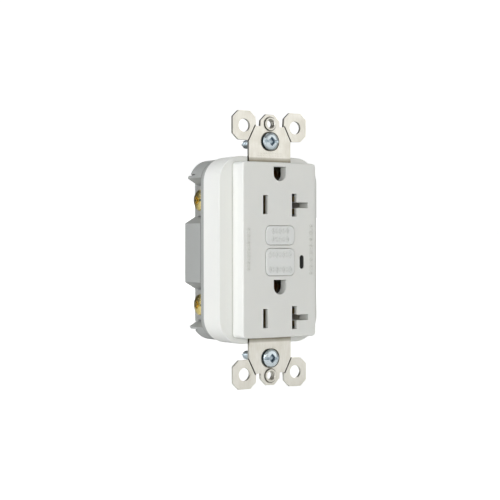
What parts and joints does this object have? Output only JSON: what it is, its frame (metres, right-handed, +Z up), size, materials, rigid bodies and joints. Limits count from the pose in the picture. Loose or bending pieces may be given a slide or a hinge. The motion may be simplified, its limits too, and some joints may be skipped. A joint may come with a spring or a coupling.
{
  "type": "gfci outlet",
  "caption": "Decorator-style ground-fault duplex outlet with T slots, test and reset buttons, metal mounting strap with ears, and side screw terminals.",
  "frame": {"origin": "centre of the device, midway between the two wall-plate screw holes, in the plane of the strap's rear face", "axes": "+X right seen from the front, +Y into the wall, +Z up"},
  "size_m": [0.0444, 0.0369, 0.1062],
  "materials": {
    "white_plastic": "satin",
    "button_plastic": "satin",
    "grey_plastic": "satin",
    "inner_plastic": "matt",
    "mechanism_plastic": "matt",
    "bobbin_plastic": "matt",
    "retainer_fibre": "matt",
    "nickel_strap": "satin nickel plate",
    "zinc_screw": "bright zinc plate",
    "brass_screw": "polished",
    "silver_screw": "nickel plate",
    "green_screw": "green plate",
    "ground_brass": "stamped",
    "contact_bronze": "stamped",
    "copper_wire": "enamelled copper",
    "lead_insulation": "satin",
    "white_insulation": "satin",
    "magnetic_steel": "plain",
    "core_ferrite": "matt",
    "board_green": "solder mask",
    "varistor_blue": "dipped epoxy",
    "capacitor_red": "dipped epoxy",
    "capacitor_sleeve": "sleeve",
    "chip_black": "moulded",
    "resistor_tan": "lacquer",
    "lens_dark": "smoked",
    "led_body": "clear"
  },
  "bodies": {
    "housing": {"front_cover": "white_plastic", "rear_body": "grey_plastic", "middle_housing": "inner_plastic", "mounting_strap": "nickel_strap", "indicator_lens": "lens_dark", "indicator_led": "led_body", "circuit_board": "board_green", "varistor": "varistor_blue", "filter_capacitor": "capacitor_red", "smoothing_capacitor": "capacitor_sleeve", "thyristor": "chip_black", "control_chip": "chip_black", "resistors": "resistor_tan", "diodes": "chip_black", "sensor_housing": "mechanism_plastic", "differential_core": "core_ferrite", "differential_winding": "copper_wire", "grounded_neutral_core": "core_ferrite", "grounded_neutral_winding": "copper_wire", "line_hot_lead": "lead_insulation", "line_neutral_lead": "white_insulation", "solenoid_bobbin": "bobbin_plastic", "solenoid_coil": "copper_wire", "solenoid_frame": "magnetic_steel", "plunger_spring": "magnetic_steel", "reset_spring": "magnetic_steel", "hot_face_contacts": "contact_bronze", "neutral_face_contacts": "contact_bronze", "upper_ground_contact": "ground_brass", "lower_ground_contact": "ground_brass", "ground_rivets": "ground_brass", "housing_screws": "zinc_screw", "load_hot_terminal": "contact_bronze", "line_hot_terminal": "contact_bronze", "load_neutral_terminal": "contact_bronze", "line_neutral_terminal": "contact_bronze"},
    "test_button": {"test_button": "button_plastic"},
    "test_leaf": {"test_contact_leaf": "contact_bronze"},
    "reset_button": {"reset_button": "button_plastic", "reset_pin": "zinc_screw"},
    "plunger": {"solenoid_plunger": "magnetic_steel"},
    "contact_carrier": {"contact_carrier": "mechanism_plastic"},
    "latch_plate": {"latch_plate": "zinc_screw"},
    "line_hot_arm": {"line_hot_arm": "contact_bronze"},
    "line_neutral_arm": {"line_neutral_arm": "contact_bronze"},
    "upper_screw_retainer": {"upper_screw_retainer": "retainer_fibre"},
    "lower_screw_retainer": {"lower_screw_retainer": "retainer_fibre"},
    "upper_mounting_screw": {"upper_mounting_screw": "zinc_screw"},
    "lower_mounting_screw": {"lower_mounting_screw": "zinc_screw"},
    "ground_clamp": {"ground_clamp": "ground_brass"},
    "ground_screw": {"ground_screw": "green_screw"},
    "load_hot_clamp": {"load_hot_clamp": "brass_screw"},
    "load_hot_screw": {"load_hot_screw": "brass_screw"},
    "line_hot_clamp": {"line_hot_clamp": "brass_screw"},
    "line_hot_screw": {"line_hot_screw": "brass_screw"},
    "load_neutral_clamp": {"load_neutral_clamp": "silver_screw"},
    "load_neutral_screw": {"load_neutral_screw": "silver_screw"},
    "line_neutral_clamp": {"line_neutral_clamp": "silver_screw"},
    "line_neutral_screw": {"line_neutral_screw": "silver_screw"}
  },
  "joints": [
    {"name": "test_press", "type": "slide", "parent": "housing", "child": "test_button", "axis": [0, 1, 0], "range_m": [0, 0.0012], "stiffness_N_per_m": 400},
    {"name": "test_leaf_bend", "type": "hinge", "parent": "housing", "child": "test_leaf", "pos_m": [0, 0.00235, 0.017], "axis": [1, 0, 0], "range_deg": [0, 6]},
    {"name": "reset_press", "type": "slide", "parent": "housing", "child": "reset_button", "axis": [0, 1, 0], "range_m": [0, 0.002], "stiffness_N_per_m": 800, "deforming": ["reset_spring"]},
    {"name": "plunger_stroke", "type": "slide", "parent": "housing", "child": "plunger", "axis": [0, 0, -1], "range_m": [0, 0.0024], "stiffness_N_per_m": 150, "deforming": ["plunger_spring"]},
    {"name": "carrier_drop", "type": "slide", "parent": "housing", "child": "contact_carrier", "axis": [0, 1, 0], "range_m": [0, 0.002]},
    {"name": "latch_slide", "type": "slide", "parent": "contact_carrier", "child": "latch_plate", "axis": [0, 0, -1], "range_m": [0, 0.0024]},
    {"name": "line_hot_arm_bend", "type": "hinge", "parent": "housing", "child": "line_hot_arm", "pos_m": [-0.01265, 0.0153, -0.027], "axis": [-1, 0, 0], "range_deg": [0, 5]},
    {"name": "line_neutral_arm_bend", "type": "hinge", "parent": "housing", "child": "line_neutral_arm", "pos_m": [0.01265, 0.0153, -0.027], "axis": [-1, 0, 0], "range_deg": [0, 5]},
    {"name": "load_hot_clamp_travel", "type": "slide", "parent": "housing", "child": "load_hot_clamp", "axis": [-1, 0, 0], "range_m": [-0.0001, 0.0023]},
    {"name": "load_hot_screw_turn", "type": "hinge", "parent": "load_hot_clamp", "child": "load_hot_screw", "pos_m": [-0.0179, 0.021, 0.0194], "axis": [-1, 0, 0], "range_deg": [-46, 1044]},
    {"name": "line_hot_clamp_travel", "type": "slide", "parent": "housing", "child": "line_hot_clamp", "axis": [-1, 0, 0], "range_m": [-0.0001, 0.0023]},
    {"name": "line_hot_screw_turn", "type": "hinge", "parent": "line_hot_clamp", "child": "line_hot_screw", "pos_m": [-0.0179, 0.021, -0.0215], "axis": [-1, 0, 0], "range_deg": [-46, 1044]},
    {"name": "load_neutral_clamp_travel", "type": "slide", "parent": "housing", "child": "load_neutral_clamp", "axis": [1, 0, 0], "range_m": [-0.0001, 0.0023]},
    {"name": "load_neutral_screw_turn", "type": "hinge", "parent": "load_neutral_clamp", "child": "load_neutral_screw", "pos_m": [0.0179, 0.021, 0.0194], "axis": [1, 0, 0], "range_deg": [-46, 1044]},
    {"name": "line_neutral_clamp_travel", "type": "slide", "parent": "housing", "child": "line_neutral_clamp", "axis": [1, 0, 0], "range_m": [-0.0001, 0.0023]},
    {"name": "line_neutral_screw_turn", "type": "hinge", "parent": "line_neutral_clamp", "child": "line_neutral_screw", "pos_m": [0.0179, 0.021, -0.0215], "axis": [1, 0, 0], "range_deg": [-46, 1044]},
    {"name": "upper_screw_float", "type": "slide", "parent": "housing", "child": "upper_screw_retainer", "axis": [0, -1, 0], "range_m": [0, 0.0055]},
    {"name": "upper_screw_turn", "type": "hinge", "parent": "upper_screw_retainer", "child": "upper_mounting_screw", "pos_m": [0, 0, 0.04167], "axis": [0, -1, 0], "continuous": true},
    {"name": "lower_screw_float", "type": "slide", "parent": "housing", "child": "lower_screw_retainer", "axis": [0, -1, 0], "range_m": [0, 0.0055]},
    {"name": "lower_screw_turn", "type": "hinge", "parent": "lower_screw_retainer", "child": "lower_mounting_screw", "pos_m": [0, 0, -0.04167], "axis": [0, -1, 0], "continuous": true},
    {"name": "ground_clamp_travel", "type": "slide", "parent": "housing", "child": "ground_clamp", "axis": [0, 0, -1], "range_m": [-0.0001, 0.0016]},
    {"name": "ground_screw_turn", "type": "hinge", "parent": "ground_clamp", "child": "ground_screw", "pos_m": [0.0068, 0.0075, -0.0405], "axis": [0, 0, -1], "range_deg": [-46, 727]}
  ],
  "couplings": [
    {"joint": "test_leaf_bend", "follows": "test_press", "rad_per_m": 86.957},
    {"joint": "latch_slide", "follows": "plunger_stroke", "ratio": 1},
    {"joint": "line_hot_arm_bend", "follows": "carrier_drop", "rad_per_m": 43.3},
    {"joint": "line_neutral_arm_bend", "follows": "carrier_drop", "rad_per_m": 43.3},
    {"joint": "load_hot_screw_turn", "follows": "load_hot_clamp_travel", "rad_per_m": 7915.8},
    {"joint": "line_hot_screw_turn", "follows": "line_hot_clamp_travel", "rad_per_m": 7915.8},
    {"joint": "load_neutral_screw_turn", "follows": "load_neutral_clamp_travel", "rad_per_m": 7915.8},
    {"joint": "line_neutral_screw_turn", "follows": "line_neutral_clamp_travel", "rad_per_m": 7915.8},
    {"joint": "ground_screw_turn", "follows": "ground_clamp_travel", "rad_per_m": 7915.8}
  ]
}
